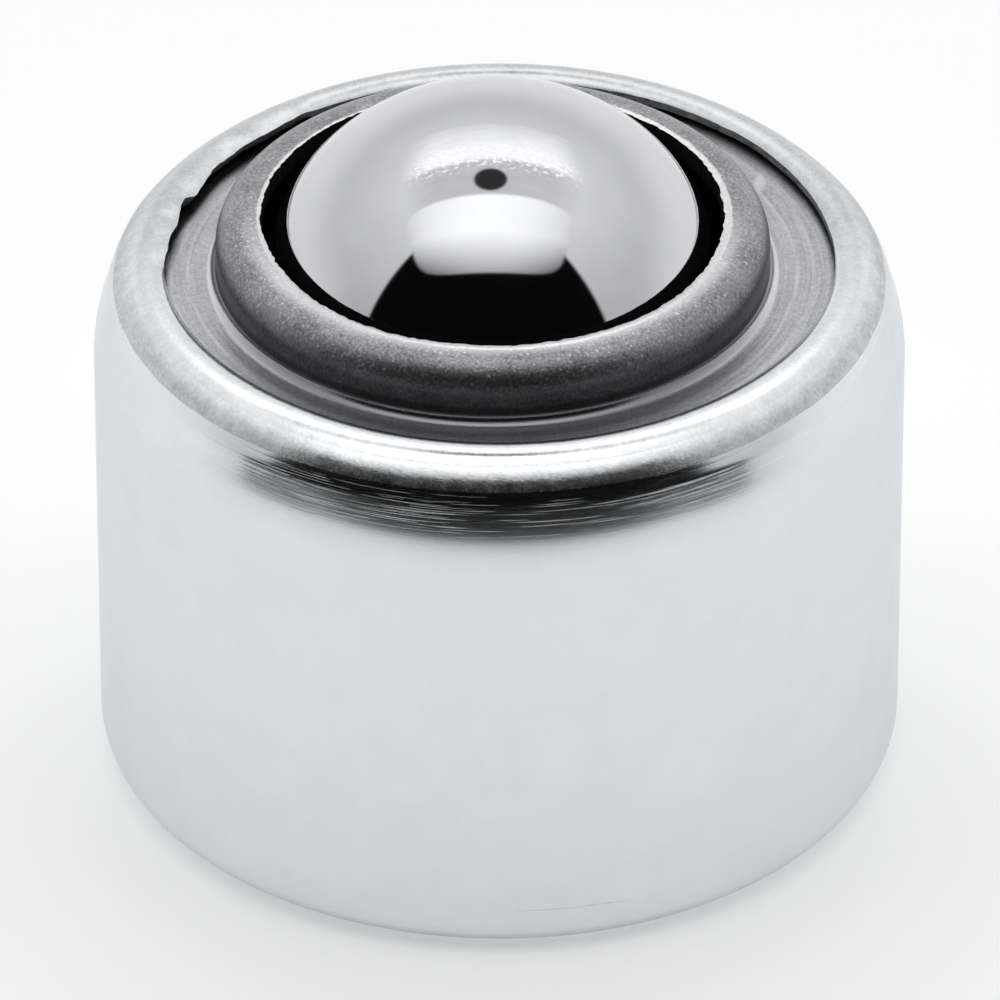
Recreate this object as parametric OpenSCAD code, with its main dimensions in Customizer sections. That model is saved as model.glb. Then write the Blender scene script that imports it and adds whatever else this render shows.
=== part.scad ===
// Ball transfer unit: a large ball that rolls in every direction on a bed of
// small balls, in a drawn steel can whose mouth is rolled in over the cover.
// Millimetres, +Z up. The origin is the centre of the can's flat base.

/* [Main ball] */
// Diameter of the main ball
ball_d = 25.4; // [24:0.1:26]

/* [Support balls] */
// Diameter of one support ball
support_d = 4.76; // [4.2:0.01:5]
// Gap between a ball and whatever it rolls on or beside
ball_gap = 0.06; // [0.05:0.01:0.1]
// Steepest row of support balls, measured from straight down
fill_angle = 76; // [60:1:79]

/* [Race seat] */
// Steel under the lowest support ball
seat_floor = 7.3; // [6:0.1:9]
// Race wall that stands above the main ball's centre
race_rise = 2.02; // [1.5:0.01:2.4]
// Break on the race's upper edge
race_break = 0.3; // [0.1:0.05:0.5]

/* [Housing] */
// Outer diameter of the can
body_d = 42.3; // [42:0.1:44]
// Thickness of the can's sheet
sheet_t = 0.7; // [0.6:0.05:0.9]
// Radius round the bottom edge of the can, outside
corner_r = 2.1; // [1.5:0.1:3]
// Radius of the shoulder over the straight wall, outside
shoulder_r = 9; // [8:0.1:10]
// Length of the straight cone above the shoulder
cone_len = 1.3; // [1:0.1:1.6]
// Radius of the knuckle between the cone and the rolled band, outside
knuckle_r = 2.5; // [2:0.1:3]
// Radius of the rolled band that carries the lip, outside
band_r = 5.9; // [5.4:0.01:6.2]
// Step up from the knuckle to the rolled band
roll_step = 0.06; // [0.03:0.01:0.12]
// Outside radius of the rolled lip
lip_r = 1.1; // [1:0.05:1.3]
// Depth of the middle of the lip's roll below the cover's flange
lip_sink = 0.11; // [0.08:0.01:0.2]
// Gap between the rolled lip and the cover's flange
lip_gap = 0.05; // [0.03:0.01:0.1]
// How far the lip's trimmed edge reaches in from the middle of its roll
lip_reach = 0.8; // [0.6:0.01:0.85]

/* [Untrimmed stretch of the lip] */
// Direction of its first end, from +X towards +Y
tongue_from = 123; // [110:1:130]
// How far round it runs
tongue_span = 64; // [40:1:70]
// Radius of the scallops in its torn edge
scallop_r = 1.3; // [0.8:0.1:2]
// Radius of the sharp notch in its torn edge
notch_r = 0.3; // [0.2:0.05:0.5]

/* [Cover ring] */
// Thickness of the cover's sheet
cover_t = 1; // [0.8:0.05:1.1]
// Fillet between the collar and the flange
foot_fillet = 0.6; // [0.4:0.05:0.8]
// Height of the collar's upright neck above the flange
neck_h = 1.6; // [1.2:0.1:2]
// Outside radius of the dome over the neck
dome_r = 1.9; // [1.7:0.1:2.1]
// How far the dome reaches in from the neck to its rim
dome_reach = 2.37; // [2.3:0.01:2.5]
// Gap between the collar's rim and the main ball, along the level
rim_gap = 1.13; // [0.9:0.01:1.4]

/* [Fits] */
// How far the seat, cover and balls have settled towards -X in the can
insert_shift = 0.35; // [0:0.05:0.4]
// Smallest gap that is left between the can's wall and the insert
side_gap = 0.1; // [0.05:0.05:0.2]

/* [Hidden] */
$fn = 96;
ball_r = ball_d / 2;
support_r = support_d / 2;
body_r = body_d / 2;
bore_r = body_r - sheet_t;

// Balls: the main ball stands on the support balls, and they on the race.
pitch_r = ball_r + ball_gap + support_r;
race_r = pitch_r + support_r + ball_gap;
ball_z = sheet_t + seat_floor + race_r;

// Rows of support balls. The first ring has six round the lowest ball.
step_d = support_d + ball_gap;
first_row = asin(step_d / pitch_r);
row_step = 2 * asin(step_d / (2 * pitch_r));
row_angles = [for (a = [first_row:row_step:fill_angle]) a];
function row_count(a) = floor(180 / asin(min(1, step_d / (2 * pitch_r * sin(a)))) + 1e-6);

// Stack: the seat stands on the can's floor and carries the cover's flange
seat_top = ball_z + race_rise;
flange_z = seat_top + cover_t;

// Crimped end of the can. Its arcs, straight cone and lip pass into each other along
// directions with exact sines and cosines. The rolled band steps up from the knuckle.
cone_out = [0.96, 0.28];
cone_up = [-cone_out[1], cone_out[0]];
band_out = [0.8, 0.6];
lip_out = [0.6, 0.8];
lip_from_wall = (shoulder_r - knuckle_r) * cone_out + cone_len * cone_up
    + (knuckle_r + roll_step - band_r) * band_out + (band_r - lip_r) * lip_out;
shoulder_z = flange_z - lip_sink - lip_from_wall[1];
shoulder_c = [body_r - shoulder_r, shoulder_z];
knuckle_c = shoulder_c + (shoulder_r - knuckle_r) * cone_out + cone_len * cone_up;
band_c = knuckle_c + (knuckle_r + roll_step - band_r) * band_out;
lip_c = band_c + (band_r - lip_r) * lip_out;
lip_end = 180 - asin(min(1, (lip_sink + lip_gap) / (lip_r - sheet_t)));
mouth_r = lip_c[0] - lip_reach;

// Insert: the seat and the cover share one outline that follows the can's
fit = insert_shift + side_gap;
seat_r = bore_r - fit;
seat_edge_r = corner_r - sheet_t + side_gap;

// Cover ring. Its rim stands clear of the main ball, and the collar outside the rim.
rim_z = flange_z + neck_h + dome_r;
rim_r = sqrt(pow(ball_r, 2) - pow(rim_z - ball_z, 2)) + rim_gap;
collar_r = rim_r + dome_reach;
dome_c = [collar_r - dome_r, flange_z + neck_h];
foot_c = [collar_r + foot_fillet, flange_z + foot_fillet];
dome_sweep = 135;

// Scallops in the torn edge: share of the stretch, radius and reach from the axis
scallops = [
    [0, scallop_r, mouth_r + lip_gap],
    [0.43, scallop_r, mouth_r - lip_r / 6],
    [0.63, notch_r, mouth_r - lip_r / 12],
    [0.81, scallop_r, mouth_r - lip_r / 12],
    [1, 2 * scallop_r, mouth_r + lip_gap]
];

function support_name(row, i) = str("support_ball_r", row, "_", i);

SUPPORTS = concat(
    [["support_ball_r0_1", 0, 0]],
    [for (row = [0:len(row_angles) - 1])
        let (n = row_count(row_angles[row]))
        for (i = [0:n - 1]) [support_name(row + 1, i + 1), row_angles[row], 360 * i / n]]
);

// Part of a round band between two angles, about a centre
module arc_band(centre, outer, inner, from, to) {
    reach = 2 * outer;
    middle = (from + to) / 2;
    translate(centre)
        intersection() {
            difference() {
                circle(outer);
                circle(inner);
            }
            polygon([[0, 0],
                reach * [cos(from), sin(from)],
                reach * [cos(middle), sin(middle)],
                reach * [cos(to), sin(to)]]);
        }
}

// A level bar in the profile, from one radius to another
module bar(from, to, low, high) {
    translate([from, low]) square([to - from, high - low]);
}

// What lies between a radius and a circle, from one height to another
module rounded_bar(from, centre, radius, low, high) {
    if (centre[0] > from) bar(from, centre[0], low, high);
    intersection() {
        translate(centre) circle(radius);
        bar(max(from, centre[0]), centre[0] + radius, low, high);
    }
}

// The crimped end of the can, filled from a radius out to a face that lies at some depth
// in its sheet. The rolled band may step up from the knuckle.
module crimp_fill(from, depth, step) {
    cone_low = shoulder_c + (shoulder_r - depth) * cone_out;
    cone_high = cone_low + cone_len * cone_up;
    band_low = knuckle_c[1] + (knuckle_r - depth) * band_out[1];
    lip_low = lip_c[1] + (lip_r - depth) * lip_out[1];
    rounded_bar(from, shoulder_c, shoulder_r - depth, shoulder_z, cone_low[1]);
    polygon([[from, cone_low[1]], cone_low, cone_high, [from, cone_high[1]]]);
    rounded_bar(from, knuckle_c, knuckle_r - depth, cone_high[1], band_low);
    rounded_bar(from, band_c, band_r - roll_step + step - depth, band_low, lip_low);
}

module can_profile() {
    bar(0, body_r - corner_r, 0, sheet_t);
    arc_band([body_r - corner_r, corner_r], corner_r, corner_r - sheet_t, -90, 0);
    bar(bore_r, body_r, corner_r, shoulder_z);
    difference() {
        union() {
            crimp_fill(lip_c[0], 0, roll_step);
            translate(lip_c) circle(lip_r);
        }
        crimp_fill(lip_c[0], sheet_t, roll_step);
        translate(lip_c) circle(lip_r - sheet_t);
        polygon([lip_c,
            lip_c + 2 * lip_r * [cos(lip_end), sin(lip_end)],
            [0, shoulder_z],
            [lip_c[0], shoulder_z]]);
    }
}

// What fits into the crimped end of the can
module insert_end() {
    translate([-fit, 0]) crimp_fill(fit, sheet_t, 0);
}

// What is trimmed from the lip, seen from above. One stretch of it is left, with
// scallops where the sheet tore.
module mouth_outline() {
    difference() {
        circle(mouth_r);
        polygon(concat([[0, 0]],
            [for (share = [0, 0.5, 1])
                let (a = tongue_from + share * tongue_span) body_r * [cos(a), sin(a)]]));
    }
    for (s = scallops)
        rotate(tongue_from + s[0] * tongue_span)
            translate([s[2] - s[1], 0]) circle(s[1]);
}

module housing() {
    color("silver")
        difference() {
            rotate_extrude() can_profile();
            translate([0, 0, shoulder_z]) linear_extrude(body_r) mouth_outline();
        }
}

module race_seat() {
    color("dimgray")
        translate([-insert_shift, 0, 0])
            rotate_extrude()
                difference() {
                    union() {
                        bar(0, seat_r - seat_edge_r, sheet_t, shoulder_z);
                        bar(0, seat_r, sheet_t + seat_edge_r, shoulder_z);
                        translate([seat_r - seat_edge_r, sheet_t + seat_edge_r]) circle(seat_edge_r);
                        intersection() {
                            insert_end();
                            bar(0, seat_r, shoulder_z, seat_top);
                        }
                    }
                    translate([0, ball_z]) circle(race_r);
                    bar(-race_r, race_r, ball_z, seat_top + race_break);
                    polygon([[race_r - race_break, seat_top + race_break],
                        [race_r - race_break, seat_top - 2 * race_break],
                        [race_r + 2 * race_break, seat_top + race_break]]);
                }
}

module cover_ring() {
    color("gray")
        translate([-insert_shift, 0, 0])
            rotate_extrude() {
                intersection() {
                    insert_end();
                    bar(foot_c[0], seat_r, seat_top, flange_z);
                }
                arc_band(foot_c, foot_fillet + cover_t, foot_fillet, 180, 270);
                bar(collar_r - cover_t, collar_r, foot_c[1], dome_c[1]);
                difference() {
                    arc_band(dome_c, dome_r, dome_r - cover_t, 0, dome_sweep);
                    bar(0, rim_r, dome_c[1], rim_z + cover_t);
                }
            }
}

module main_ball() {
    color("lightgray")
        translate([-insert_shift, 0, ball_z]) sphere(ball_r);
}

module support_ball(row_angle, turn) {
    color("lightslategray")
        translate([-insert_shift, 0, ball_z])
            rotate([0, 180 - row_angle, turn])
                translate([0, 0, pitch_r]) sphere(support_r);
}

housing();
race_seat();
cover_ring();
main_ball();
for (s = SUPPORTS) support_ball(s[1], s[2]);
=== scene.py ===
"""The looks of a ball transfer unit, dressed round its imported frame.

Profiles and places are in millimetres, angles are in degrees, and the meshes are in metres.
The front of the can looks towards -Y.
"""

import math

import bpy
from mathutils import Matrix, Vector, noise


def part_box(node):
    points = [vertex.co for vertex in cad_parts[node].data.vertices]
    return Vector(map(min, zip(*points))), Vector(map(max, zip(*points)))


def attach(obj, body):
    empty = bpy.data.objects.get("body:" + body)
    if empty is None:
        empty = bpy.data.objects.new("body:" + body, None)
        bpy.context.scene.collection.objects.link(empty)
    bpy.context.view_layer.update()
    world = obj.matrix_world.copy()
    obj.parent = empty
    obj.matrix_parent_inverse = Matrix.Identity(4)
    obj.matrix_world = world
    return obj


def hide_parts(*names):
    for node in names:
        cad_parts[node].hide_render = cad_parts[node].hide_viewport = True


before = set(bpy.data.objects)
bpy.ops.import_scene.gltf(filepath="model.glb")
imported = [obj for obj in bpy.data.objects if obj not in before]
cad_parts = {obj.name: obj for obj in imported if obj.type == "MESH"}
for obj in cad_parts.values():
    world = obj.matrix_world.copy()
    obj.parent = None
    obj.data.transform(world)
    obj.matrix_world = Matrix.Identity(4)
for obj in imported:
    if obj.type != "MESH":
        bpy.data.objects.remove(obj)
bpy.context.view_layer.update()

MM = 0.001  # a millimetre, in metres
NEAR = 0.001  # lengths that differ by less than this are the same
SHARP_TURN = 35  # edges that turn further than this stay sharp
CAN_STEPS = 384  # steps of the can's turn
COVER_STEPS = 600  # steps of the cover's turn, fine enough for its sheared rim
BALL_CUTS = 71  # cuts along each edge of the cube that becomes the ball

# ---------------------------------------------------------------- sizes


def box_mm(node):
    """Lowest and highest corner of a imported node, in millimetres."""
    low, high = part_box(node)
    return low / MM, high / MM


_, can_high = box_mm("housing")
seat_low, seat_high = box_mm("race_seat")
cover_low, cover_high = box_mm("cover_ring")
ball_low, ball_high = box_mm("main_ball")

# The can: radii of its outside, from the floor's edge up to the lip
CORNER_R = 2.1
SHOULDER_R = 9.0
CONE_LEN = 1.3
KNUCKLE_R = 2.5
BAND_R = 5.9
LIP_R = 1.1
ROLL_STEP = 0.06  # step up from the knuckle to the rolled band
LIP_SINK = 0.11  # depth of the middle of the lip's roll below the cover's flange
LIP_GAP = 0.05  # gap between the lip and the flange
LIP_REACH = 0.8  # how far the trimmed edge reaches in from the middle of the roll
CONE_OUT = Vector((0.96, 0.28))  # where the shoulder passes into the cone
BAND_OUT = Vector((0.8, 0.6))  # where the knuckle passes into the rolled band
LIP_OUT = Vector((0.6, 0.8))  # where the band passes into the lip
body_r = can_high.x
sheet_t = seat_low.z
bore_r = body_r - sheet_t
roll_r = LIP_R - sheet_t
cone_up = Vector((-CONE_OUT.y, CONE_OUT.x))
to_knuckle = (SHOULDER_R - KNUCKLE_R) * CONE_OUT + CONE_LEN * cone_up
to_band = (KNUCKLE_R + ROLL_STEP - BAND_R) * BAND_OUT
to_lip = (BAND_R - LIP_R) * LIP_OUT
shoulder_c = Vector((body_r - SHOULDER_R, can_high.z - LIP_R))
shoulder_c.y -= (to_knuckle + to_band + to_lip).y
knuckle_c = shoulder_c + to_knuckle
band_c = knuckle_c + to_band
lip_c = band_c + to_lip
cone_turn, band_turn, lip_turn = (
    math.degrees(math.atan2(out.y, out.x)) for out in (CONE_OUT, BAND_OUT, LIP_OUT)
)
band_foot = band_c + BAND_R * BAND_OUT
band_z = knuckle_c.y + KNUCKLE_R * BAND_OUT.y  # lower edge of the rolled band
mouth_r = lip_c.x - LIP_REACH
lip_end = 180 - math.degrees(math.asin((LIP_SINK + LIP_GAP) / roll_r))

# How the can departs from its turned profile
MOUTH_WANDER = 0.04  # slow wander of the trimmed edge
MOUTH_ROUGH = 0.02  # fine roughness of that edge
MOUTH_FRONT = 0.2  # the edge stands this much further in at the front
FRONT_SWELL = Vector((-0.24, 0.1))  # and the roll this much further in and up
SWELL_EASE = 70  # angle round the roll over which the swell grows
BAND_ROUGH = 0.05  # roughness of the rolled band's lower edge
BAND_SLOPE = 0.75  # how far the band's foot leans in for each millimetre up

# The torn stretch of the lip, where the sheet is longer and less rolled
TORN_START = 123  # direction of its first end, from +X towards +Y
TORN_SPAN = 64
TORN_EASE_IN = 6
TORN_EASE_OUT = 10
TORN_EDGE = (  # share of the stretch, and how far in from the trimmed mouth its edge stands
    (0, 0),
    (0.1, 0.22),
    (0.3, 0.28),
    (0.4, 0.17),
    (0.56, 0.45),
    (0.6, 0.1),
    (0.72, 0.35),
    (0.82, 0.2),
    (1, 0),
)
TORN_R = 2.0  # outside radius of the opened roll
TORN_FROM = 80  # angle round the roll at which it opens
TORN_ROUGH = 0.03  # what the tear adds to the edge's roughness
TORN_WAVE = 0.16  # how far the torn sheet waves up and down

# The cover ring
COVER_T = 1.0
FOOT_FILLET = 0.6
DOME_R = 1.9
DOME_REACH = 2.37
RIM_GAP = 1.13
RIM_BITE = 0.08  # fine roughness of the sheared rim
RIM_WANDER = 0.05  # slow wander of the rim
RIM_FRONT = 0.33  # the rim stands this much further out at the front
RIM_EASE = 0.8  # the rim's own outline fades over this width
insert_x = (cover_low.x + cover_high.x) / 2
flange_z = cover_low.z + COVER_T
rim_z = cover_high.z
ball_r = (ball_high.z - ball_low.z) / 2
ball_z = ball_low.z + ball_r
rim_r = math.sqrt(ball_r**2 - (rim_z - ball_z) ** 2) + RIM_GAP
collar_r = rim_r + DOME_REACH
dome_c = Vector((collar_r - DOME_R, rim_z - DOME_R))
foot_c = Vector((collar_r + FOOT_FILLET, flange_z + FOOT_FILLET))
fit = bore_r - (seat_high.x - seat_low.x) / 2  # the insert stands this far inside the can
edge_c = band_c - Vector((fit, 0))  # centre of the round edge of the cover's flange
edge_r = BAND_R - ROLL_STEP - sheet_t

# ---------------------------------------------------------------- modelling


def clear_selection():
    """Leaves no object selected."""
    bpy.ops.object.select_all(action="DESELECT")


class Pen:
    """Draws a half section in the XZ plane and turns it about its upright axis."""

    def __init__(self, name, radius, height, axis_x=0.0):
        clear_selection()
        bpy.ops.mesh.primitive_plane_add(size=MM)
        self.piece = bpy.context.object
        self.piece.name = name
        self.piece.data.name = name
        self.axis_x = axis_x
        self.at = (radius, height)
        bpy.ops.object.mode_set(mode="EDIT")
        bpy.context.tool_settings.mesh_select_mode = (True, False, False)
        bpy.ops.mesh.select_all(action="SELECT")
        bpy.ops.mesh.merge(type="CENTER")
        bpy.ops.transform.translate(value=((axis_x + radius) * MM, 0, height * MM))

    def line(self, radius, height, steps=1):
        """Extrudes the last point in equal steps."""
        step = (
            (radius - self.at[0]) * MM / steps,
            0,
            (height - self.at[1]) * MM / steps,
        )
        for _ in range(steps):
            bpy.ops.mesh.extrude_vertices_move(TRANSFORM_OT_translate={"value": step})
        self.at = (radius, height)

    def arc(self, centre, sweep, steps):
        """Spins the last point about a centre. A positive sweep turns from outwards to upwards."""
        bpy.ops.mesh.spin(
            steps=steps,
            angle=math.radians(sweep),
            center=((self.axis_x + centre[0]) * MM, 0, centre[1] * MM),
            axis=(0, 1, 0),
        )
        across, up = self.at[0] - centre[0], self.at[1] - centre[1]
        c, s = math.cos(math.radians(sweep)), math.sin(math.radians(sweep))
        self.at = (centre[0] + across * c - up * s, centre[1] + across * s + up * c)

    def turn(self, steps):
        """Spins the whole section once round and closes the skin."""
        bpy.ops.mesh.select_all(action="SELECT")
        bpy.ops.mesh.spin(
            steps=steps,
            angle=math.tau,
            center=(self.axis_x * MM, 0, 0),
            axis=(0, 0, 1),
        )
        bpy.ops.mesh.select_all(action="SELECT")
        bpy.ops.mesh.remove_doubles(threshold=NEAR * MM)
        bpy.ops.mesh.normals_make_consistent(inside=False)
        bpy.ops.object.mode_set(mode="OBJECT")
        return self.piece


def polar(point, axis_x=0.0):
    """Direction from the axis in degrees, radius and height of a vertex, in millimetres."""
    x, y, z = point / MM
    return math.degrees(math.atan2(y, x - axis_x)), math.hypot(x - axis_x, y), z


def from_polar(direction, radius, height, axis_x=0.0):
    """Place of a vertex, in metres."""
    a = math.radians(direction)
    return Vector((axis_x + radius * math.cos(a), radius * math.sin(a), height)) * MM


def smooth(share):
    """Eases a share that is held between 0 and 1."""
    share = max(0, min(1, share))
    return share * share * (3 - 2 * share)


def at_front(direction, gain, start):
    """1 at the front, eased to 0 at the sides and the back."""
    return smooth(-gain * math.sin(math.radians(direction)) - start)


def ragged(direction, radius, size, seed):
    """A wander from -1 to 1 along a ring, with no seam and bumps of one size."""
    a = math.radians(direction)
    reach = radius / size
    return noise.noise(Vector((math.cos(a) * reach, math.sin(a) * reach, seed)))


# ---------------------------------------------------------------- the can


def roll_limit(depth, mouth):
    """Angle round the lip's roll at which the mouth cuts a layer of the sheet."""
    share = max(-1, min(1, (mouth - lip_c.x) / depth))
    return min(lip_end, math.degrees(math.acos(share)))


def torn_share(direction):
    """How torn the lip is in one direction: 1 on the torn stretch, eased off at its ends."""
    along = (direction - TORN_START + 180) % 360 - 180
    return smooth(along / TORN_EASE_IN) * smooth((TORN_SPAN - along) / TORN_EASE_OUT)


def torn_depth(direction):
    """How far in from the trimmed mouth the torn edge stands."""
    share = max(0, min(1, (direction - TORN_START) % 360 / TORN_SPAN))
    for (start, low), (end, high) in zip(TORN_EDGE, TORN_EDGE[1:]):
        if start <= share <= end:
            return low + (high - low) * smooth((share - start) / (end - start))
    return 0


def mouth_at(direction):
    """Radius of the lip's edge in one direction."""
    rough = MOUTH_ROUGH + TORN_ROUGH * torn_share(direction)
    wander = MOUTH_WANDER * ragged(direction, mouth_r, size=5, seed=2.5)
    wander -= MOUTH_FRONT * at_front(direction, gain=1.4, start=0.2)
    return mouth_r + wander + rough * ragged(direction, mouth_r, size=0.45, seed=7.5)


def on_roll(centre, reach, angle):
    """Place in the section at an angle round a centre."""
    a = math.radians(angle)
    return centre + reach * Vector((math.cos(a), math.sin(a)))


def torn_place(depth, share, mouth):
    """Place in the section of a point on the opened roll, by its share of the way to the edge."""
    opened_c = on_roll(lip_c, LIP_R - TORN_R, TORN_FROM)
    end = math.degrees(math.acos((mouth - opened_c.x) / TORN_R))
    closed = LIP_R * (TORN_FROM - lip_turn)
    way = share * (closed + TORN_R * (end - TORN_FROM))
    if way < closed:
        return on_roll(lip_c, depth, lip_turn + way / LIP_R)
    return on_roll(opened_c, depth + TORN_R - LIP_R, TORN_FROM + (way - closed) / TORN_R)


def lip_place(direction, depth, angle):
    """Place in the section of a point of the roll, ended at the mouth's own outline."""
    share = (angle - lip_turn) / (roll_limit(depth, mouth_r) - lip_turn)
    mouth = mouth_at(direction)
    end = roll_limit(depth, mouth)
    at = on_roll(lip_c, depth, lip_turn + share * (end - lip_turn))
    torn = torn_share(direction)
    if torn > 0:
        at = at.lerp(torn_place(depth, share, mouth - torn_depth(direction)), torn)
        wave = ragged(direction, mouth_r, size=1.6, seed=4.5)
        at.y += TORN_WAVE * torn * smooth(share * 1.5) * wave
    swell = at_front(direction, gain=1.3, start=0.1)
    return at + swell * smooth((angle - lip_turn) / SWELL_EASE) * FRONT_SWELL


def on_band_edge(radius, height):
    """Whether a point lies at the lower edge of the rolled band."""
    reach_in, reach_up = 1, 0.1
    return radius > band_foot.x - reach_in and abs(height - band_z) < reach_up


def shape_lip(piece):
    """Gives the roll the mouth's own outline, and roughens the band's lower edge."""
    for vertex in piece.data.vertices:
        direction, radius, height = polar(vertex.co)
        out, up = radius - lip_c.x, height - lip_c.y
        depth = math.hypot(out, up)
        angle = math.degrees(math.atan2(up, out))
        if on_band_edge(radius, height):
            lift = BAND_ROUGH * ragged(direction, body_r, size=1.2, seed=9.5)
            vertex.co = from_polar(direction, radius - lift * BAND_SLOPE, height + lift)
        elif roll_r - NEAR < depth < LIP_R + NEAR and angle > lip_turn:
            vertex.co = from_polar(direction, *lip_place(direction, depth, angle))


def mark_cut(piece):
    """Gives the can's second finish, darkened as painted shade, to the cut edge of its lip and the
    hollow under it.
    """
    skin = 0.02  # faces this near the outside of the roll belong to it
    for face in piece.data.polygons:
        _, radius, height = polar(face.center)
        out, up = radius - lip_c.x, height - lip_c.y
        face.material_index = int(out < 0 < up and math.hypot(out, up) < LIP_R - skin)


def make_can():
    """The can, drawn from the middle of its floor up the outside and back down the inside."""
    corner_c = (body_r - CORNER_R, CORNER_R)
    cone_foot = shoulder_c + (SHOULDER_R - sheet_t) * CONE_OUT
    cone_head = knuckle_c + KNUCKLE_R * CONE_OUT
    knuckle_in = knuckle_c + (KNUCKLE_R - sheet_t) * BAND_OUT
    edge_foot = lip_c.y + LIP_REACH * math.tan(math.radians(180 - lip_end))
    pen = Pen("can_shell", 0, 0)
    pen.line(corner_c[0], 0, steps=4)
    pen.arc(corner_c, 90, steps=12)
    pen.line(body_r, shoulder_c.y, steps=12)
    pen.arc(shoulder_c, cone_turn, steps=12)
    pen.line(*cone_head, steps=4)
    pen.arc(knuckle_c, band_turn - cone_turn, steps=10)
    pen.line(*band_foot)
    pen.arc(band_c, lip_turn - band_turn, steps=8)
    pen.arc(lip_c, roll_limit(LIP_R, mouth_r) - lip_turn, steps=22)
    pen.line(mouth_r, edge_foot, steps=3)
    pen.line(*on_roll(lip_c, roll_r, lip_end), steps=2)
    pen.arc(lip_c, lip_turn - lip_end, steps=10)
    pen.arc(band_c, band_turn - lip_turn, steps=4)
    pen.line(*knuckle_in)
    pen.arc(knuckle_c, cone_turn - band_turn, steps=4)
    pen.line(*cone_foot, steps=2)
    pen.arc(shoulder_c, -cone_turn, steps=8)
    pen.line(bore_r, CORNER_R, steps=6)
    pen.arc(corner_c, -90, steps=8)
    pen.line(0, sheet_t, steps=4)
    piece = pen.turn(CAN_STEPS)
    mark_cut(piece)
    shape_lip(piece)
    return piece


# ---------------------------------------------------------------- the cover ring


def mark_inside(piece):
    """Gives the cover's second finish, a painted near-black shade, to the faces that look inwards
    or down.
    """
    inwards, downwards = -0.5, -0.2  # how far such a face leans
    for face in piece.data.polygons:
        a = math.radians(polar(face.center, insert_x)[0])
        outward = face.normal.x * math.cos(a) + face.normal.y * math.sin(a)
        face.material_index = int(outward < inwards or face.normal.z < downwards)


def shear_rim(piece):
    """Roughens the collar's rim and opens it at the front."""
    for vertex in piece.data.vertices:
        direction, radius, height = polar(vertex.co, insert_x)
        share = 1 - (radius - rim_r) / RIM_EASE
        if share > 0:
            bite = RIM_BITE * ragged(direction, rim_r, size=0.3, seed=3.5)
            bite += RIM_WANDER * ragged(direction, rim_r, size=2.5, seed=6.5)
            bite += RIM_FRONT * at_front(direction, gain=1.3, start=0.3)
            vertex.co = from_polar(direction, radius + bite * share, height, insert_x)


def make_cover():
    """The cover, drawn from its flange over the collar and back down inside."""
    low_angle = math.degrees(math.asin((cover_low.z - edge_c.y) / edge_r))
    high_angle = math.degrees(math.asin((flange_z - edge_c.y) / edge_r))
    overhang = DOME_REACH - DOME_R
    inner_r = DOME_R - COVER_T
    outer_end = math.degrees(math.acos(-overhang / DOME_R))
    inner_end = math.degrees(math.acos(-overhang / inner_r))
    pen = Pen("cover_collar", foot_c.x, cover_low.z, insert_x)
    pen.line(edge_c.x + edge_r * math.cos(math.radians(low_angle)), cover_low.z, steps=4)
    pen.arc(edge_c, high_angle - low_angle, steps=3)
    pen.line(foot_c.x, flange_z, steps=8)
    pen.arc(foot_c, -90, steps=8)
    pen.line(collar_r, dome_c.y, steps=3)
    pen.arc(dome_c, outer_end, steps=22)
    pen.line(rim_r, dome_c.y + inner_r * math.sin(math.radians(inner_end)), steps=3)
    pen.arc(dome_c, -inner_end, steps=10)
    pen.line(collar_r - COVER_T, foot_c.y, steps=2)
    pen.arc(foot_c, 90, steps=6)
    piece = pen.turn(COVER_STEPS)
    mark_inside(piece)
    shear_rim(piece)
    return piece


# ---------------------------------------------------------------- the main ball


def make_ball():
    """The main ball, made from a finely cut cube."""
    centre = Vector((insert_x, 0, ball_z)) * MM
    clear_selection()
    bpy.ops.mesh.primitive_cube_add(size=ball_r * MM, location=centre)
    piece = bpy.context.object
    piece.name = "rolling_ball"
    piece.data.name = "rolling_ball"
    bpy.ops.object.mode_set(mode="EDIT")
    bpy.ops.mesh.select_all(action="SELECT")
    bpy.ops.mesh.subdivide(number_cuts=BALL_CUTS)
    bpy.ops.transform.tosphere(value=1, center_override=centre)
    bpy.ops.mesh.normals_make_consistent(inside=False)
    bpy.ops.object.mode_set(mode="OBJECT")
    for vertex in piece.data.vertices:
        vertex.co = centre + vertex.co.normalized() * ball_r * MM
    piece.location = (0, 0, 0)
    return piece


# ---------------------------------------------------------------- shader wiring


class Wire:
    """One output of a node tree, on which plain maths adds nodes."""

    def __init__(self, tree, socket):
        self.tree = tree
        self.socket = socket

    def maths(self, operation, *values):
        return add(self.tree, "ShaderNodeMath", {"operation": operation}, values)

    def __add__(self, other):
        return self.maths("ADD", self, other)

    def __sub__(self, other):
        return self.maths("SUBTRACT", self, other)

    def __mul__(self, other):
        return self.maths("MULTIPLY", self, other)

    def __truediv__(self, other):
        return self.maths("DIVIDE", self, other)

    def __rsub__(self, other):
        return self.maths("SUBTRACT", other, self)

    def __rtruediv__(self, other):
        return self.maths("DIVIDE", other, self)

    def __neg__(self):
        return self * -1

    def __pow__(self, other):
        return self.maths("POWER", self, other)

    def __abs__(self):
        return self.maths("ABSOLUTE", self)

    def larger(self, other):
        return self.maths("MAXIMUM", self, other)

    def smaller(self, other):
        return self.maths("MINIMUM", self, other)

    def above(self, edge, soft):
        """0 below the edge and 1 above it, eased over a width of soft."""
        return add(
            self.tree,
            "ShaderNodeMapRange",
            {"interpolation_type": "SMOOTHSTEP"},
            {"Value": self, "From Min": edge - soft / 2, "From Max": edge + soft / 2},
        )

    def below(self, edge, soft):
        """1 below the edge and 0 above it."""
        return 1 - self.above(edge, soft)

    def within(self, low, high, soft):
        """1 between two edges and 0 outside them."""
        return self.above(low, soft) * self.below(high, soft)

    __radd__ = __add__
    __rmul__ = __mul__


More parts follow.
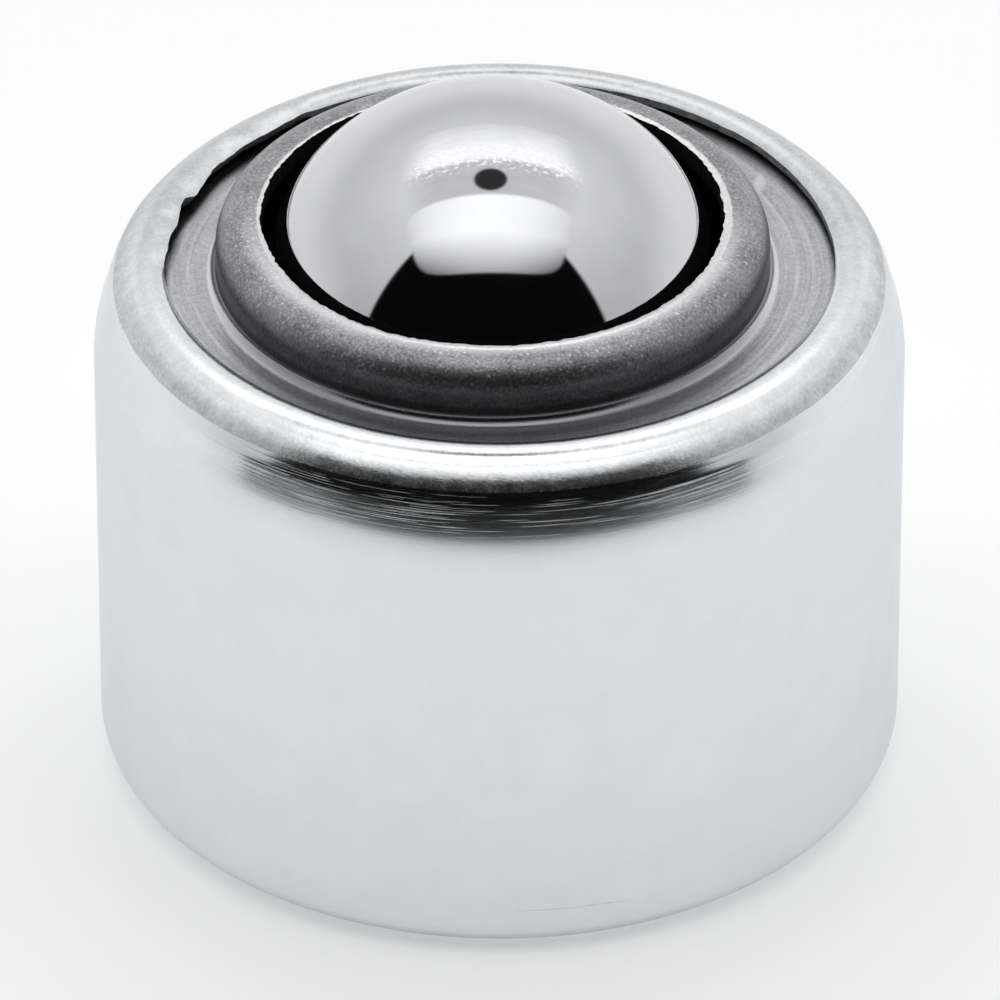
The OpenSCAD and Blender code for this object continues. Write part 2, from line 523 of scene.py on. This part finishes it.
# Sockets that a Mix node uses for colours
MIX_SHARE, MIX_FIRST, MIX_SECOND, MIX_RESULT = 0, 6, 7, 2


def add(tree, kind, settings, values, output=0):
    """Adds a node: its settings first, then its sockets, by name or in order."""
    node = tree.nodes.new(kind)
    for name, value in settings.items():
        setattr(node, name, value)
    pairs = values.items() if isinstance(values, dict) else enumerate(values)
    for key, value in pairs:
        if isinstance(value, Wire):
            tree.links.new(value.socket, node.inputs[key])
        else:
            node.inputs[key].default_value = value
    return Wire(tree, node.outputs[output]) if node.outputs else None


def split(tree, vector):
    """The three parts of a vector."""
    return [add(tree, "ShaderNodeSeparateXYZ", {}, [vector], axis) for axis in "XYZ"]


def join(tree, x, y, z):
    """A vector from its three parts."""
    return add(tree, "ShaderNodeCombineXYZ", {}, [x, y, z])


def blend(tree, share, first, second):
    """A colour between two, by share."""
    values = {MIX_SHARE: share, MIX_FIRST: first, MIX_SECOND: second}
    return add(tree, "ShaderNodeMix", {"data_type": "RGBA"}, values, MIX_RESULT)


def grain(tree, place, scale, detail, roughness):
    """Smooth noise round zero, from about -0.5 to 0.5."""
    values = {"Vector": place, "Scale": scale, "Detail": detail, "Roughness": roughness}
    return add(tree, "ShaderNodeTexNoise", {}, values) - 0.5


def grey(level, tint=(1, 1, 1)):
    """A grey of one level, with a slight tint."""
    return (*(level * t for t in tint), 1)


def mottle(tree, share, low, high, tint=(1, 1, 1)):
    """A grey that wanders between two levels."""
    return blend(tree, share, grey(low, tint), grey(high, tint))


class Finish:
    """A metal being built: its tree and the places that its patterns read."""

    def __init__(self, name, axis_x=0.0):
        self.material = bpy.data.materials.new(name)
        self.material.use_nodes = True
        self.tree = self.material.node_tree
        self.shader = self.tree.nodes["Principled BSDF"]
        self.shader.inputs["Metallic"].default_value = 1.0
        where = add(self.tree, "ShaderNodeTexCoord", {}, {}, "Object")
        values = {"Vector": where, "Scale": (1 / MM,) * 3, "Location": (-axis_x, 0, 0)}
        self.place = add(self.tree, "ShaderNodeMapping", {}, values)
        self.x, self.y, self.z = split(self.tree, self.place)
        self.radius = (self.x * self.x + self.y * self.y) ** 0.5

    def rings(self, along, height):
        """A place that runs slowly round the axis and fast across the rings."""
        share = along / self.radius
        return join(self.tree, self.x * share, self.y * share, height)

    def set(self, **sockets):
        """Sets or wires the shader's sockets, with _ for each space in their names."""
        for name, value in sockets.items():
            socket = self.shader.inputs[name.replace("_", " ")]
            if isinstance(value, Wire):
                self.tree.links.new(value.socket, socket)
            else:
                socket.default_value = value

    def relief(self, height):
        """Turns a height in millimetres into the shading normal."""
        bump = {"Height": height, "Distance": MM, "Strength": 1.0}
        self.set(Normal=add(self.tree, "ShaderNodeBump", {}, bump))


# ---------------------------------------------------------------- the can's finishes

COOL = (0.97, 0.99, 1.01)  # the faint blue of zinc
PLATE_LOW = (0.71, 0.735, 0.76, 1)  # the smooth plate wanders between these two
PLATE_HIGH = (0.81, 0.84, 0.865, 1)
EDGE_TINT = (0.88, 0.89, 0.9, 1)  # how the plate reflects at a glancing view
FOLD_HALF = 0.6  # half the width of a soft fold round the band
FOLD_RISE = 0.05
GRAZE_Z = (2.72, 2.80)  # a faint scrape low on the front of the wall
GRAZE_X = (1.1, 6.6)
GRAZE_Y = -15
lined_z = shoulder_c.y + 2.2  # drawn lines run from here up to the band
crimped_z = shoulder_c.y + 2.3  # the wall is burnished from about here up
lip_top_z = band_z + 0.75  # the plate is brighter above this
fold_z = band_z + 0.38  # middle of the fold


def graze_mark(f, cloud, patch):
    """A faint, broken scrape low on the front of the wall."""
    mark = (f.z + cloud * 0.3).within(*GRAZE_Z, 0.08) * f.x.within(*GRAZE_X, 1.5)
    return mark * f.y.below(GRAZE_Y, 1) * (patch * 2 + 0.6).larger(0).smaller(1)


def band_colour(f, patch, speck):
    """Dull, mottled plate on the band, brighter on the lip, with a painted highlight that makes
    the lip brightest at its front.
    """
    dull = patch * 1.4 + speck * 1.3 + 0.5
    rolled = mottle(f.tree, dull, low=0.40, high=0.74, tint=COOL)
    back_lip = mottle(f.tree, dull, low=0.54, high=0.80, tint=COOL)
    # painted highlight: the front of the lip gets a brighter plate than its back
    highlit_front_lip = mottle(f.tree, dull, low=0.76, high=0.96, tint=COOL)
    lip = blend(f.tree, f.y.below(0, 10), back_lip, highlit_front_lip)
    return blend(f.tree, f.z.above(lip_top_z, 0.9), rolled, lip)


def plated_steel():
    """Bright zinc plate: smooth below, drawn lines round the knuckle, a dull mottled band."""
    f = Finish("plated_steel")
    t = f.tree
    cloud = grain(t, f.place, scale=0.35, detail=4, roughness=0.6)
    patch = grain(t, f.place, scale=1.1, detail=4, roughness=0.65)
    speck = grain(t, f.place, scale=4.5, detail=3, roughness=0.7)
    across = f.z - f.radius
    drawn = grain(t, f.rings(along=1.8, height=across * 8), scale=1.0, detail=5, roughness=0.7)
    scratch = grain(t, f.rings(along=3, height=across * 18), scale=1.0, detail=2, roughness=0.6)
    scratch = scratch.above(0.14, 0.12)
    band = (f.z + patch * 0.12 + speck * 0.1).above(band_z + 0.02, 0.05)
    lined = f.z.within(lined_z, band_z, 0.9)

    wall = blend(t, cloud * 0.8 + speck * 0.12 + 0.5, PLATE_LOW, PLATE_HIGH)
    wall = blend(t, graze_mark(f, cloud, patch) * 0.4, wall, grey(0.3, COOL))
    f.set(Base_Color=blend(t, band, wall, band_colour(f, patch, speck)))
    rough = 0.30 - f.z.above(crimped_z, 2.4) * 0.15 + lined * (drawn * 0.04)
    worn = f.z.below(fold_z, 0.3) * 0.08 + f.y.above(4, 12) * 0.12
    f.set(Roughness=rough + band * (worn + 0.03 + speck * 0.12 + patch * 0.10))
    f.set(Specular_Tint=EDGE_TINT)
    lines = lined * (drawn * 0.0018 + scratch * 0.0024)
    fold = (1 - ((f.z - fold_z) / FOLD_HALF) ** 2).larger(0) * FOLD_RISE
    f.relief(speck * 0.001 + lines + band * (speck * 0.006 + patch * 0.010) + fold)
    return f.material


def sheared_steel_and_shade():
    """The rough cut through the can's sheet and the hollow of its lip: sheared steel, painted
    darker as the shade they lie in.
    """
    f = Finish("sheared_steel_and_shade")
    torn = grain(f.tree, f.rings(along=30, height=f.z * 4), scale=1.0, detail=3, roughness=0.7) * 2
    # painted shade: the dark greys of the cut and the hollow stand for the shade under the lip
    f.set(Base_Color=mottle(f.tree, torn + 0.5, low=0.05, high=0.42, tint=COOL))
    f.set(Roughness=0.55, Metallic=0.5)
    return f.material


# ---------------------------------------------------------------- the cover's finishes

STEEL = (0.98, 0.985, 1.03)  # the faint violet of polished steel
RINGS_R = ((15.72, 15.88), (16.6, 16.78))  # two bright turned rings on the flange
SHADE_R = 17.34  # outside this the flange is painted dark as the lip's shade, measured from the can's axis
BRIGHT_LINES_R = ((16.96, 17.03), (17.14, 17.22))  # a brighter double line at the back right, likewise
BRIGHT_LINES_X = (8.3, 11.6)
BRIGHT_LINES_Y = 9
BRIGHT_BLOB_AT = (14, 8.3)  # a brighter blob at the back right
BRIGHT_BLOB_HALF = (0.3, 0.85)


def rim_land(f, ahead, wander):
    """The bare metal of the sheared rim, wider towards the front."""
    land = rim_r + 0.30 + f.x * 0.10 / f.radius + ahead * 0.18 + wander * 0.25
    land = land + ahead.above(0.62, 0.8) * 0.3
    return (f.radius - land).below(0, 0.12) * f.z.above(rim_z - 0.4, 0.2)


def dome_colour(f, ahead, grit, glint):
    """Blasted steel, with painted shade low on the dome and at its foot, and a painted highlight
    with painted glints near the rim at the front.
    """
    t = f.tree
    # painted shade and highlight: the dome is darker low down and lighter at its crown
    shaded_low_dome = mottle(t, grit, low=0.05, high=0.17, tint=STEEL)
    lit_crown = mottle(t, grit, low=0.15, high=0.52, tint=STEEL)
    # painted highlight and painted glints near the rim, towards the front
    rim_highlight = f.radius.below(rim_r + 0.95, 0.9) * ahead.above(0.2, 0.9) * 0.65
    rim_highlight = rim_highlight + glint * ahead.above(-0.3, 1.2) * 0.7
    lit_crown = blend(t, rim_highlight, lit_crown, grey(0.9, STEEL))
    dome = blend(t, f.z.above(rim_z - 0.9, 1.8), shaded_low_dome, lit_crown)
    # painted shade at the dome's foot
    return blend(t, f.z.below(foot_c.y + 0.35, 0.3) * 0.6, dome, grey(0.03))


def flange_bright_marks(f, from_can, wander):
    """A brighter double line and a brighter blob at the back right of the flange."""
    bright_lines = from_can.within(*BRIGHT_LINES_R[0], 0.05) + from_can.within(*BRIGHT_LINES_R[1], 0.05)
    bright_lines = bright_lines * f.x.within(*BRIGHT_LINES_X, 1) * f.y.above(BRIGHT_LINES_Y, 1)
    bright_blob = ((f.x - BRIGHT_BLOB_AT[0]) / BRIGHT_BLOB_HALF[0]) ** 2
    bright_blob = bright_blob + ((f.y - BRIGHT_BLOB_AT[1]) / BRIGHT_BLOB_HALF[1]) ** 2 + wander * 3
    return (bright_lines + bright_blob.below(0.8, 1.4) * 0.5).smaller(1)


def flange_colour(f, foot, streaks, wander):
    """Turned rings, a foot with a painted highlight at its sides, painted shade under the lip, and
    a few brighter marks.
    """
    t = f.tree
    patchy = grain(t, f.rings(along=5, height=f.radius * 1.5), scale=1.0, detail=3, roughness=0.6)
    rings = f.radius.within(*RINGS_R[0], 0.06) + f.radius.within(*RINGS_R[1], 0.06)
    rings = rings * (patchy * 1.6 + 0.35).larger(0)
    turned = mottle(t, streaks, low=0.33, high=0.63, tint=STEEL)
    turned = blend(t, rings * 0.6, turned, grey(0.80, STEEL))
    # painted highlight: the foot is bright at its sides and dark at its front
    foot_side_highlight = (f.x / f.radius) ** 8
    turned = blend(t, foot, turned, mottle(t, foot_side_highlight, low=0.24, high=0.80, tint=STEEL))
    from_can = ((f.x + insert_x) ** 2 + f.y * f.y) ** 0.5 + wander * 0.3
    # painted shade: the flange is darkened outside SHADE_R, further in on the torn side
    torn = (-f.x).above(4, 6) * f.y.above(3, 5)
    shade = (from_can + torn * 0.5).above(SHADE_R, 0.34) * f.y.above(-5, 8)
    turned = blend(t, shade * (0.92 - f.x.above(5, 8) * 0.25), turned, grey(0.02))
    return blend(t, flange_bright_marks(f, from_can, wander) * 0.8, turned, grey(0.9, STEEL))


def pressed_steel():
    """Blasted steel on the collar, smoother on its foot, turned rings on the flange, with painted
    shade and painted highlights.
    """
    f = Finish("pressed_steel", insert_x)
    t = f.tree
    cloud = grain(t, f.place, scale=0.5, detail=3, roughness=0.6)
    speck = grain(t, f.place, scale=6.0, detail=3, roughness=0.65)
    # glint feeds painted glints in the dome's colour, and grit in its relief
    glint = grain(t, f.place, scale=6.0, detail=2, roughness=0.6).above(0.17, 0.08)
    wander = grain(t, f.place, scale=1.3, detail=4, roughness=0.7)
    ringed = grain(t, f.rings(along=3, height=f.radius * 6), scale=1.0, detail=4, roughness=0.7)
    ahead = f.y / f.radius * -1  # 1 at the front, -1 at the back
    rim = rim_land(f, ahead, wander)
    collar = f.z.above(foot_c.y - 0.05, 0.1)
    crease_shade = f.z.within(foot_c.y - 0.14, foot_c.y + 0.02, 0.05)
    foot = f.z.within(flange_z + 0.02, foot_c.y - 0.16, 0.04)

    dome = dome_colour(f, ahead, speck * 2.0 + cloud * 0.8 + 0.5, glint)
    flange = flange_colour(f, foot, ringed * 1.6 + speck * 1.6 + 0.5, wander)
    colour = blend(t, collar, flange, dome)
    # painted shade: a dark line in the crease where the collar meets the flange
    colour = blend(t, crease_shade * 0.8, colour, grey(0.05))
    f.set(Base_Color=blend(t, rim, colour, mottle(t, speck + 0.5, low=0.6, high=0.95)))
    rough = 0.33 + collar * 0.07 - foot * 0.10 - rim * 0.15
    f.set(Roughness=rough + speck * 0.06)
    gritty = collar * (speck * 0.02 + glint * 0.004)
    f.relief(gritty + (1 - collar) * (ringed * 0.006 + speck * 0.006))
    return f.material


def painted_shade_inside():
    """The unlit inside of the collar, painted near-black as shade."""
    f = Finish("painted_shade_inside", insert_x)
    inside_mottle = grain(f.tree, f.place, scale=1.0, detail=3, roughness=0.6)
    f.set(Metallic=0.0, Specular_IOR_Level=0.08)
    # painted shade: a near-black colour that stands for the shade inside the collar
    f.set(Base_Color=mottle(f.tree, inside_mottle + 0.5, low=0.002, high=0.008))
    f.set(Roughness=0.7 + inside_mottle * 0.2)
    return f.material


# ---------------------------------------------------------------- finishes of what rolls


def polished_steel():
    """Mirror-polished ball steel with a few specks of dust."""
    f = Finish("polished_steel", insert_x)
    haze = grain(f.tree, f.place, scale=0.4, detail=3, roughness=0.5)
    dust = grain(f.tree, f.place, scale=2.2, detail=2, roughness=0.6).above(0.33, 0.03)
    clean = mottle(f.tree, haze + 0.5, low=0.59, high=0.67, tint=STEEL)
    f.set(Base_Color=blend(f.tree, dust * 0.4, clean, grey(0.25)))
    f.set(Roughness=0.045 + haze * 0.02 + dust * 0.2)
    return f.material


def ground_steel(name, level, roughness):
    """Hardened and ground steel, for what runs out of sight, its grey set low as painted shade."""
    f = Finish(name, insert_x)
    fine = grain(f.tree, f.place, scale=4.0, detail=3, roughness=0.6)
    f.set(Base_Color=mottle(f.tree, fine + 0.5, low=level * 0.9, high=level * 1.1))
    f.set(Roughness=roughness + fine * 0.1)
    f.relief(fine * 0.003)
    return f.material


# ---------------------------------------------------------------- surroundings

# Parts of the tent's roof, as slopes across and away from straight up
LAMP_AT = (-0.04, -0.32)
LAMP_HALF = (0.74, 0.39)
LAMP_LEVEL = 1.58
SEAM_AWAY = (0.04, 0.46)  # a dim gap behind the lamp
SEAM_LEVEL = 0.83
STRIP_AWAY = (0.45, 1.12)  # a crumpled bright strip behind the gap
STRIP_LEVEL = 1.50
HOLE_AT = (-0.015, 0.22)  # the lens looks in through a hole in the gap
HOLE_R = 0.115
WALL_LEVEL = 0.62
OPEN_LEVEL = 0.003  # what comes in through the tent's open front
OPEN_SIDES = (1.66, 2.14)  # how far the front opens towards +X and -X

# The table top, in metres
TABLE_HALF = 0.18
TABLE_AT = (0, 0.325, -0.00002)
TABLE_GLOW = 0.32


def tent_walls(x, y, z):
    """Brightness of the tent's walls by direction, darkest through its open front."""
    high = z.larger(0)
    tone = WALL_LEVEL + 0.5 * high * high  # brighter overhead
    tone = tone + y.above(0.1, 0.9) * 0.10  # and at the back
    tone = tone + y.above(-0.1, 0.4) * z.below(0.25, 0.4) * 0.26  # most of all low down
    tone = tone + (x * 0.77 + y * 0.64).above(0.85, 0.4) * 0.04  # and at the back right
    front = -y
    wider = z.below(0.06, 0.2) * 1.1  # the opening's sides spread towards the table
    opening = (front * (OPEN_SIDES[0] + wider) - x).above(0, 0.08)
    opening = opening * (front * (OPEN_SIDES[1] + wider) + x).above(0, 0.08)
    return tone * (1 - opening) + opening * OPEN_LEVEL


def crumpled_strip(t, across, away):
    """The crumples of the strip behind the gap, and the glints on its near edge."""
    crumple = grain(t, join(t, across, away * 2.2, 0.5), scale=7.0, detail=4, roughness=0.7)
    sparkle = grain(t, join(t, across, away * 1.5, 1.5), scale=22.0, detail=2, roughness=0.6)
    glint = sparkle.above(0.08, 0.08) * away.within(0.36, 0.62, 0.16)
    return crumple, glint


def tent_roof(t, tone, x, y, z):
    """Adds the gap, the strip, the lamp and the lens's hole to the tent's brightness."""
    up = z.larger(0.02)
    across, away = x / up, y / up
    overhead = z.above(0.1, 0.1)
    centre = abs(across).below(0.60, 0.4) * overhead
    seam = centre * away.within(*SEAM_AWAY, 0.05)
    strip = centre * away.within(*STRIP_AWAY, 0.08)
    crumple, glint = crumpled_strip(t, across, away)
    tone = tone * (1 - seam) + seam * (SEAM_LEVEL + crumple * 0.2)
    strip_level = STRIP_LEVEL - away.above(0.85, 0.6) * 0.45 + crumple * 0.5
    tone = tone * (1 - strip) + strip * strip_level + centre * glint * 1.0
    from_lamp = across - LAMP_AT[0]
    side = abs(from_lamp / LAMP_HALF[0]) ** 5 + abs((away - LAMP_AT[1]) / LAMP_HALF[1]) ** 5
    lamp = side.below(1, 0.45) * overhead
    lamp_level = LAMP_LEVEL - (-away - 0.27).larger(0) * 2.3 - from_lamp**2 * 1.1
    tone = tone * (1 - lamp) + lamp * lamp_level
    hole = ((across - HOLE_AT[0]) ** 2 + (away - HOLE_AT[1]) ** 2) ** 0.5
    return tone * (1 - hole.below(HOLE_R, 0.03) * overhead * 0.95)


def white_room():
    """A light tent as the world: its front is open, and a lamp hangs over that side."""
    world = bpy.data.worlds.new("tent")
    bpy.context.scene.world = world
    world.use_nodes = True
    t = world.node_tree
    t.nodes.clear()
    x, y, z = split(t, add(t, "ShaderNodeTexCoord", {}, {}, "Generated"))
    tone = tent_roof(t, tent_walls(x, y, z), x, y, z)
    light = add(t, "ShaderNodeBackground", {}, {"Color": grey(1), "Strength": tone})
    white = add(t, "ShaderNodeBackground", {}, {"Color": grey(1), "Strength": 1.0})
    seen = add(t, "ShaderNodeLightPath", {}, {}, "Is Camera Ray")
    both = add(t, "ShaderNodeMixShader", {}, [seen, light, white])
    add(t, "ShaderNodeOutputWorld", {}, {"Surface": both})


def table_white():
    """Paper that glows a little where it is seen, straight or in a reflection."""
    material = bpy.data.materials.new("table_white")
    material.use_nodes = True
    t = material.node_tree
    t.nodes.clear()
    paper = add(t, "ShaderNodeBsdfDiffuse", {}, {"Color": grey(0.9)})
    shade = add(t, "ShaderNodeBsdfDiffuse", {}, {"Color": grey(0.8)})
    glow = add(t, "ShaderNodeEmission", {}, {"Color": grey(1), "Strength": TABLE_GLOW})
    shown = add(t, "ShaderNodeAddShader", {}, [shade, glow])
    camera, glossy, through = (
        add(t, "ShaderNodeLightPath", {}, {}, name)
        for name in ("Is Camera Ray", "Is Glossy Ray", "Is Transmission Ray")
    )
    seen = camera.larger(glossy).larger(through)
    both = add(t, "ShaderNodeMixShader", {}, [seen, paper, shown])
    add(t, "ShaderNodeOutputMaterial", {}, {"Surface": both})
    return material


def white_floor():
    """A white table top that keeps the shadow and ends at the tent's open front."""
    clear_selection()
    bpy.ops.mesh.primitive_plane_add(size=1, location=TABLE_AT)
    floor = bpy.context.object
    floor.scale.x = 2 * TABLE_HALF
    bpy.ops.object.transform_apply(location=False, rotation=False, scale=True)
    floor.name = "table_top"
    floor.data.materials.append(table_white())


def set_camera():
    """A long lens that looks down on the open front of the can."""
    distance = 667.6  # from the point it aims at
    look_down = math.radians(34.127)
    aim = Vector((0.03, -0.05, 14.18))
    camera = bpy.data.cameras.new("camera")
    camera.lens = 457.05
    camera.sensor_width = 36
    camera.clip_start = 0.05
    camera.clip_end = 10
    holder = bpy.data.objects.new("camera", camera)
    bpy.context.scene.collection.objects.link(holder)
    back = Vector((0, -math.cos(look_down), math.sin(look_down)))
    holder.location = (aim + back * distance) * MM
    holder.rotation_euler = (math.pi / 2 - look_down, 0, 0)
    bpy.context.scene.camera = holder


# ---------------------------------------------------------------- putting it together


def dress(piece, materials, body, node):
    """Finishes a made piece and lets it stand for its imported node."""
    for material in materials:
        piece.data.materials.append(material)
    clear_selection()
    piece.select_set(True)
    bpy.context.view_layer.objects.active = piece
    bpy.ops.object.shade_smooth_by_angle(angle=math.radians(SHARP_TURN))
    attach(piece, body)
    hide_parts(node)


def repaint(node, material):
    """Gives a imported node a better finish."""
    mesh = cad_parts[node].data
    mesh.materials.clear()
    mesh.materials.append(material)


set_camera()
white_room()
white_floor()
can_finish = [plated_steel(), sheared_steel_and_shade()]
cover_finish = [pressed_steel(), painted_shade_inside()]
dress(make_can(), can_finish, "unit_body", "housing")
dress(make_cover(), cover_finish, "unit_body", "cover_ring")
dress(make_ball(), [polished_steel()], "main_ball", "main_ball")
# painted shade: the seat and the support balls get dark greys for the shade they lie in
repaint("race_seat", ground_steel("seat_steel", 0.12, 0.4))
bed_steel = ground_steel("bed_steel", 0.3, 0.15)
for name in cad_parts:
    if name.startswith("support_ball"):
        repaint(name, bed_steel)

bpy.context.scene.view_settings.view_transform = "Standard"
